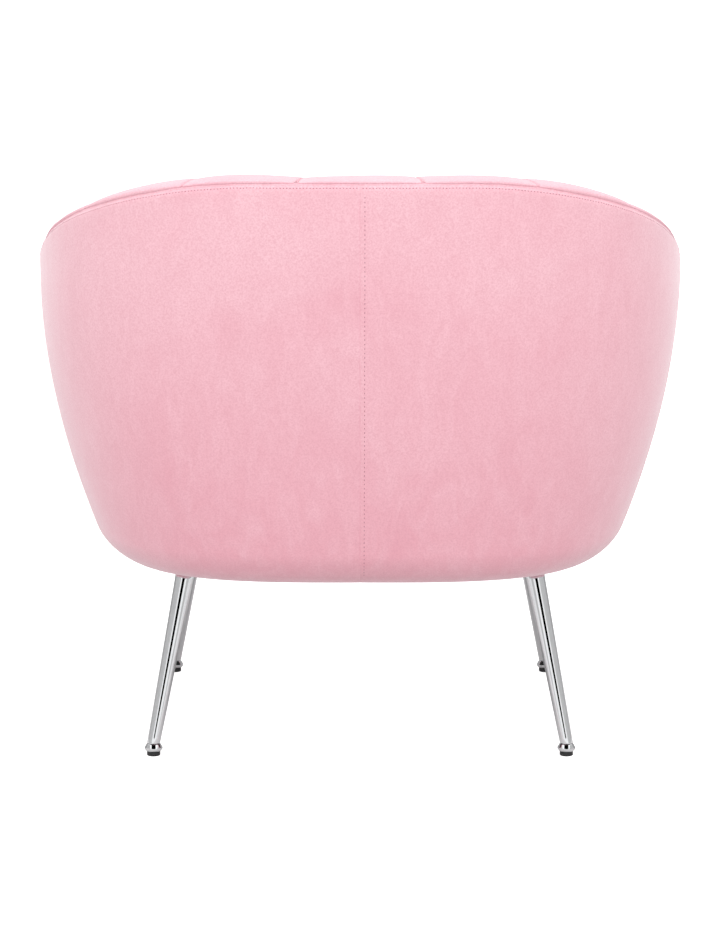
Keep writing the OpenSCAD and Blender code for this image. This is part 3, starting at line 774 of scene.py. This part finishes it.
def seat_cushion():
    obj = cushion_start()
    obj.name = "seat_cushion"
    m = obj.modifiers.new("voxels", "REMESH")
    m.mode = "VOXEL"
    m.voxel_size = VOXEL
    apply_modifiers(obj)
    rest = coordinates(obj) * 1000
    angle = np.arctan2(rest[:, 0] - MIDDLE[0], rest[:, 1] - MIDDLE[1])
    reach = np.hypot(rest[:, 0], rest[:, 1] - BEND_Y)
    rim = seat_radius(angle, rest[:, 2]) - SEAM_IN
    near_rim = np.abs(reach - rim) < 9
    seam = near_rim & ((np.abs(rest[:, 2] - SEAM_LOW) < 6.5) | (np.abs(rest[:, 2] - SEAM_HIGH) < 6.5))
    held = obj.vertex_groups.new(name="held")
    held.add([int(i) for i in np.nonzero(seam)[0]], 1.0, "REPLACE")
    cloth = obj.modifiers.new("cloth", "CLOTH")
    c = cloth.settings
    c.quality = 5
    c.mass = 0.3
    c.use_pressure = True
    c.uniform_pressure_force = PRESSURE
    c.effector_weights.gravity = 0
    c.tension_stiffness = 22
    c.compression_stiffness = 22
    c.shear_stiffness = 8
    c.bending_stiffness = 1.2
    c.vertex_group_mass = "held"
    scene = bpy.context.scene
    for frame_number in range(1, CLOTH_FRAMES + 1):
        scene.frame_set(frame_number)
    apply_modifiers(obj)
    scene.frame_set(1)
    moved = coordinates(obj) * 1000 - rest
    far = np.linalg.norm(moved, axis=1, keepdims=True)
    moved *= np.minimum(1, MOST_MOVED / np.maximum(far, 1e-6))
    co = rest + moved
    # the cushion sits flat on the deck and clear of the arms
    co[:, 2] = np.maximum(co[:, 2], CUSHION_LOW + 0.6)
    angle = np.arctan2(co[:, 0] - MIDDLE[0], co[:, 1] - MIDDLE[1])
    reach = np.hypot(co[:, 0], co[:, 1] - BEND_Y)
    most = seat_radius(angle, np.clip(co[:, 2], CUSHION_LOW, CUSHION_EDGE))
    most = most + np.where(np.cos(angle) > -0.2, 3.0, 2.0)
    shrink = np.minimum(1, most / np.maximum(reach, 1))
    co[:, 0] *= shrink
    co[:, 1] = BEND_Y + (co[:, 1] - BEND_Y) * shrink
    set_coordinates(obj, co / 1000)
    sub = obj.modifiers.new("fine", "SUBSURF")
    sub.levels = sub.render_levels = 1
    apply_modifiers(obj)
    co, n = coordinates(obj) * 1000, normals_of(obj)
    angle = np.arctan2(co[:, 0], co[:, 1] - BEND_Y)
    reach = np.hypot(co[:, 0], co[:, 1] - BEND_Y)
    girth = angle * 300
    offset = np.zeros(len(co))
    for z in (SEAM_LOW, SEAM_HIGH):
        rim = seat_radius(angle, z) - SEAM_IN
        away = np.hypot(reach - rim, co[:, 2] - z)
        offset += 1.0 * cushion_pucker(girth, z + away * 0.4) * np.exp(-away / 16.0)
        offset -= 2.2 * np.exp(-((away / 4.5) ** 2))
    offset += 0.9 * cushion_wide(co[:, 0], co[:, 1])
    co += n * offset[:, None]
    co[:, 2] = np.maximum(co[:, 2], CUSHION_LOW + 0.3)
    set_coordinates(obj, co / 1000)
    obj.data.shade_smooth()
    return obj


cushion = seat_cushion()
finish_piece(
    cushion, inner_velvet, "cushion", "velvet",
    "cushion_top_panel", "cushion_boxing", "cushion_bottom_panel", "cushion_core",
)


def tube(name, line, radius, sides=12, loop=True):
    """A round cord along a line of points."""
    line = np.asarray(line, float)
    ahead = np.roll(line, -1, 0) - np.roll(line, 1, 0) if loop else np.gradient(line, axis=0)
    t = ahead / np.linalg.norm(ahead, axis=1, keepdims=True)
    up = np.array([0, 0, 1.0])
    side = np.cross(t, up)
    side /= np.linalg.norm(side, axis=1, keepdims=True)
    over = np.cross(side, t)
    a = np.linspace(0, 2 * np.pi, sides, endpoint=False)
    r = np.broadcast_to(np.asarray(radius, float), (len(line),))[:, None, None]
    g = line[:, None, :] + r * (
        np.cos(a)[None, :, None] * side[:, None, :] + np.sin(a)[None, :, None] * over[:, None, :]
    )
    g = np.concatenate([g, g[:, :1]], 1)
    obj = edit_mesh(grid_mesh(name, g, loop=loop), seamless_tube)
    obj.data.shade_smooth()
    return obj


rim_u = np.linspace(-ARM_END + 3, ARM_END - 3, 640)
rim_line = wall(rim_u, 4.4, seam_z(rim_u) - 0.6)
finish_piece(tube("rim_welt", rim_line, 2.5, loop=False), inner_velvet, "chair", "velvet")

for label, z in (("low", SEAM_LOW), ("high", SEAM_HIGH)):
    ring = even(np.concatenate([seat_ring(8.2, z, z, 720), seat_ring(8.2, z, z, 720)[:1]]), 721)[:-1]
    girth = np.arange(len(ring)) * 3.1
    ring[:, 2] += 0.35 * np.sin(girth / 19.0) + 0.25 * np.sin(girth / 7.3 + 1)
    piping = tube("cushion_piping_" + label, ring, 3.1 + 0.12 * np.sin(girth / 3.7))
    finish_piece(piping, inner_velvet, "cushion", "velvet")

# ---------------------------------------------------------------- legs and glides

FOOT = (262.5, 235.0)
LEG_TOP = (223.0, 182.0)
FOOT_Z, LEG_TOP_Z = 16.0, BASE_Z + 3
LEG_D = (16.5, 24.0)
CORNERS = (("front_left", -1, -1), ("front_right", 1, -1), ("rear_left", -1, 1), ("rear_right", 1, 1))


def leg(label, sx, sy):
    run = np.array([sx * (LEG_TOP[0] - FOOT[0]), sy * (LEG_TOP[1] - FOOT[1])])
    rise = LEG_TOP_Z - FOOT_Z
    lean = run / np.linalg.norm(run)
    across = np.array([-lean[1], lean[0]])
    tilt = math.sqrt(rise**2 + run @ run) / rise
    a = np.linspace(0, 2 * np.pi, 96, endpoint=False)
    rings = []

    def ring(z, radius):
        f = (z - FOOT_Z) / rise
        c = np.array([sx * FOOT[0], sy * FOOT[1]]) + run * f
        xy = c + np.outer(np.cos(a), lean) * radius * tilt + np.outer(np.sin(a), across) * radius
        rings.append(np.concatenate([xy, np.full((len(a), 1), z)], 1))

    def radius_at(z):
        f = (z - FOOT_Z) / rise
        return (LEG_D[0] + (LEG_D[1] - LEG_D[0]) * f) / 2

    ring(FOOT_Z + 3, 3.4)
    ring(FOOT_Z + 0.1, 3.6)
    ring(FOOT_Z, 4.2)
    ring(FOOT_Z, radius_at(FOOT_Z) - 1.3)
    for b in np.radians([20, 45, 70]):
        ring(FOOT_Z + 1.2 - 1.2 * math.cos(b), radius_at(FOOT_Z) - 1.2 + 1.2 * math.sin(b))
    for z in np.linspace(FOOT_Z + 1.2, LEG_TOP_Z - 1, 30):
        ring(z, radius_at(z))
    ring(LEG_TOP_Z, radius_at(LEG_TOP_Z) - 1.0)
    ring(LEG_TOP_Z, 4.3)
    g = np.array(rings).transpose(1, 0, 2)
    return close_lathe(grid_mesh("leg_tube_" + label, g, loop=True))


def close_lathe(obj):
    edit_mesh(obj, closed)
    obj.data.shade_smooth()
    return obj


def lathe(name, profile, x, y, sides=72):
    a = np.linspace(0, 2 * np.pi, sides, endpoint=False)
    p = np.asarray(profile, float)
    g = np.stack([
        x + np.outer(np.cos(a), p[:, 0]), y + np.outer(np.sin(a), p[:, 0]),
        np.broadcast_to(p[:, 1], (sides, len(p))),
    ], -1)
    return close_lathe(grid_mesh(name, g, loop=True))


def rounded(profile, radius=0.35, steps=3):
    """The profile with its corners eased."""
    p = [np.array(q, float) for q in profile]
    out = [p[0]]
    for a, b, c in zip(p, p[1:], p[2:]):
        ab, bc = a - b, c - b
        r = min(radius, 0.45 * np.linalg.norm(ab), 0.45 * np.linalg.norm(bc))
        s, e = b + ab / np.linalg.norm(ab) * r, b + bc / np.linalg.norm(bc) * r
        for t in np.linspace(0, 1, steps + 1):
            out.append((1 - t) ** 2 * s + 2 * t * (1 - t) * b + t * t * e)
    out.append(p[-1])
    return out


CAP = rounded([
    [2.2, 2.2], [2.45, 2.4], [2.45, 6.0], [9.0, 6.0], [9.3, 6.15], [11.5, 8.4], [11.5, 10.6], [8.8, 15.2],
    [8.4, 15.6], [4.6, 15.7], [3.2, 15.9],
])
STUD = [[3.0 if k % 2 else 2.55, 16.2 + 0.5 * k] for k in range(23)] + [[2.2, 28.0]]
PAD = rounded([
    [1.0, 0.0], [7.6, 0.0], [8.2, 0.5], [8.5, 1.2], [8.5, 5.3],
    [8.2, 5.7], [2.62, 5.7], [2.6, 1.8], [1.0, 1.75],
], 0.25)

for label, sx, sy in CORNERS:
    x, y = sx * FOOT[0], sy * FOOT[1]
    finish_piece(leg(label, sx, sy), chrome, "chair", "chrome", "leg_" + label)
    cup = lathe("glide_cup_" + label, CAP + STUD, x, y)
    finish_piece(cup, chrome, "screw_" + label, "chrome", "glide_cap_" + label)
    foot = lathe("glide_foot_" + label, PAD, x, y)
    finish_piece(foot, black_plastic, "pad_" + label, "glide_plastic", "glide_pad_" + label)

# ---------------------------------------------------------------- dust cover

LONGEST_EDGE = 0.03


def split_long_edges(bm):
    """Cut the flat sheet fine enough to sag."""
    bmesh.ops.remove_doubles(bm, verts=bm.verts, dist=1e-5)
    for _ in range(3):
        longest = [e for e in bm.edges if e.calc_length() > LONGEST_EDGE]
        if longest:
            bmesh.ops.subdivide_edges(bm, edges=longest, cuts=1)
            bmesh.ops.triangulate(bm, faces=bm.faces)


dust = bpy.data.objects.new("dust_sheet", frame["nodes"]["dust_cover"].data.copy())
bpy.context.scene.collection.objects.link(dust)
edit_mesh(dust, split_long_edges)
dust_noise = Field(61, 70.0, 70.0)
co = coordinates(dust) * 1000
inner = np.clip((230 - np.hypot(co[:, 0], co[:, 1])) / 230, 0, 1)
co[:, 2] -= inner * (3.0 + 1.2 * dust_noise(co[:, 0], co[:, 1]))
set_coordinates(dust, co / 1000)
dust.data.shade_flat()
finish_piece(dust, dust_cloth, "chair", "dust_cloth", "dust_cover")

# ---------------------------------------------------------------- stitching


def stitches(name, line, normal, pitch, length, radius, sink=-0.85):
    """A row of short thread bars along a line that lies on the cloth."""
    s = np.concatenate([[0], np.cumsum(np.linalg.norm(np.diff(line, axis=0), axis=1))])
    at = np.arange(pitch / 2, s[-1] - pitch / 2, pitch)
    mid = np.stack([np.interp(at, s, line[:, k]) for k in range(3)], -1)
    ahead = np.stack([np.interp(at + 0.8, s, line[:, k]) for k in range(3)], -1)
    nor = np.stack([np.interp(at, s, normal[:, k]) for k in range(3)], -1)
    t = ahead - mid
    t /= np.linalg.norm(t, axis=1, keepdims=True)
    nor -= (nor * t).sum(1, keepdims=True) * t
    nor /= np.linalg.norm(nor, axis=1, keepdims=True)
    side = np.cross(t, nor)
    points, faces = [], []
    rings = [(-0.5, 0.35, -0.9), (-0.32, 0.9, 0.0), (0.0, 1.0, 0.35), (0.32, 0.9, 0.0), (0.5, 0.35, -0.9)]
    sides = 6
    for c, tt, nn, ss in zip(mid, t, nor, side):
        base = len(points)
        for along, size, lift in rings:
            for k in range(sides):
                a = 2 * math.pi * k / sides
                points.append(
                    c + tt * along * length
                    + nn * (radius * size * math.sin(a) + radius * lift - sink)
                    + ss * radius * size * math.cos(a)
                )
        for j in range(len(rings) - 1):
            for k in range(sides):
                q = (k + 1) % sides
                b = base + j * sides
                faces.append([b + k, b + q, b + sides + q, b + sides + k])
        faces.append([base + k for k in range(sides - 1, -1, -1)])
        faces.append([base + (len(rings) - 1) * sides + k for k in range(sides)])
    obj = new_mesh(name, points, faces)
    finish_piece(obj, thread, "chair", None)
    return obj


def rim_row(g, below):
    """Line and outward normals on the outer cover, a distance below its rolled top edge."""
    n = grid_normals(g)
    line, nor = [], []
    for i in range(g.shape[0]):
        col = g[i]
        s = np.concatenate([[0], np.cumsum(np.linalg.norm(np.diff(col, axis=0), axis=1))])
        at = s[-1] - 9.5 - below
        line.append([np.interp(at, s, col[:, k]) for k in range(3)])
        nor.append([np.interp(at, s, n[i, :, k]) for k in range(3)])
    line, nor = np.array(line), np.array(nor)
    out = line - np.array([0, BEND_Y, 500.0])
    out[:, 1] = np.maximum(out[:, 1], 0)
    sign = np.sign((nor * out).sum(1))
    nor *= np.where(sign == 0, 1, sign)[:, None]
    return line[3:-3], nor[3:-3]


for g, label in ((grid_left, "left"), (grid_right, "right")):
    for below, row in ((-4.4, "upper"), (-0.2, "lower")):
        line, nor = rim_row(g, below)
        stitches("rim_stitch_%s_%s" % (row, label), line, nor, 4.0, 2.4, 0.62)

column = int(np.argmin(np.abs(grid_left[:, 100, 0] + 6.0)))
line = grid_left[column][14:-4]
nor = grid_normals(grid_left)[column][14:-4]
if nor[60, 1] < 0:
    nor = -nor
stitches("back_seam_stitch", line, nor, 5.6, 3.0, 0.55)

# ---------------------------------------------------------------- camera and studio

camera_data = bpy.data.cameras.new("camera")
camera = bpy.data.objects.new("camera", camera_data)
bpy.context.scene.collection.objects.link(camera)
camera.location = (0, 4.10845, 1.0120)
camera.rotation_euler = (math.radians(80.665), 0, math.radians(180))
camera_data.lens = 121.53
camera_data.sensor_width = 36
camera_data.clip_end = 400
bpy.context.scene.camera = camera

FLOOR = 160000
floor = new_mesh(
    "floor", [[-FLOOR, -FLOOR, 0], [FLOOR, -FLOOR, 0], [FLOOR, FLOOR, 0], [-FLOOR, FLOOR, 0]], [[0, 1, 2, 3]]
)
floor_look, tree, p = new_material("pale_floor")
p.inputs["Base Color"].default_value = (0.62, 0.62, 0.62, 1)
p.inputs["Roughness"].default_value = 0.95
p.inputs["Specular IOR Level"].default_value = 0.0
p.inputs["Emission Color"].default_value = (1, 1, 1, 1)
# the floor looks white, yet throws little light back up
seen = add(tree, "ShaderNodeMapRange")
seen.inputs["To Min"].default_value = 0.0
seen.inputs["To Max"].default_value = 0.85
tree.links.new(tree.nodes.new("ShaderNodeLightPath").outputs["Is Camera Ray"], seen.inputs["Value"])
tree.links.new(seen.outputs["Result"], p.inputs["Emission Strength"])
floor.data.materials.append(floor_look)

world = bpy.data.worlds.new("studio")
bpy.context.scene.world = world
world.use_nodes = True
sky = world.node_tree
direction = sky.nodes.new("ShaderNodeTexCoord").outputs["Generated"]
split = sky.nodes.new("ShaderNodeSeparateXYZ")
sky.links.new(direction, split.inputs[0])
lift = sky.nodes.new("ShaderNodeMapRange")
lift.inputs["From Min"].default_value = 0.25
lift.inputs["From Max"].default_value = 0.95
lift.inputs["To Min"].default_value = 1.0
lift.inputs["To Max"].default_value = 1.3
sky.links.new(split.outputs["Z"], lift.inputs["Value"])
sky.links.new(lift.outputs["Result"], sky.nodes["Background"].inputs["Strength"])
sky.nodes["Background"].inputs["Color"].default_value = (1, 1, 1, 1)


def card(name, corners, value):
    """A flag outside the set that only shows in polished metal."""
    obj = new_mesh(name, corners, [list(range(len(corners)))], smooth=False)
    m, tree, p = new_material(name)
    p.inputs["Base Color"].default_value = (value, value, value, 1)
    p.inputs["Roughness"].default_value = 1.0
    p.inputs["Specular IOR Level"].default_value = 0.0
    obj.data.materials.append(m)
    obj.visible_camera = False
    obj.visible_diffuse = False
    obj.visible_shadow = False
    return obj


def area_light(name, place, target, size, power):
    data = bpy.data.lights.new(name, "AREA")
    data.shape = "RECTANGLE"
    data.size, data.size_y = size
    data.energy = power
    obj = bpy.data.objects.new(name, data)
    bpy.context.scene.collection.objects.link(obj)
    obj.location = place
    obj.rotation_euler = (Vector(target) - Vector(place)).to_track_quat("-Z", "Y").to_euler()
    obj.visible_glossy = False
    return obj


area_light("top_light", (0.0, 1.0, 2.8), (0, 0.1, 0.6), (2.6, 1.6), 8)
area_light("back_light", (0.0, 3.2, 3.0), (0, 0.3, 0.6), (2.4, 1.2), 37)
area_light("front_light", (0.4, -3.2, 3.0), (0, -0.2, 0.5), (2.4, 1.4), 9)

# flags: a dark one high behind the camera, and a grey ring at each side
card("dark_flag", [[0, 6000, 800], [1900, 6000, 1600], [1900, 6000, 4200], [-1900, 6000, 4200],
                   [-1900, 6000, 1600]], 0.0)
card("overhead_flag", [[-2600, -5000, 4300], [2600, -5000, 4300], [2600, 7000, 4300],
                       [-2600, 7000, 4300]], 0.0)
for side in (-1, 1):
    for k, (start, stop, grey) in enumerate(((34, 105, 0.52), (105, 176, 0.36))):
        a, b = (side * math.radians(v) for v in (start, stop))
        ring = [[4200 * math.sin(t), 4200 * math.cos(t)] for t in (a, b)]
        card("grey_flag_%d_%s" % (k, "right" if side > 0 else "left"),
             [ring[0] + [0], ring[1] + [0], ring[1] + [2600], ring[0] + [2600]], grey)

bpy.context.scene.view_settings.view_transform = "Standard"

bpy.context.view_layer.update()
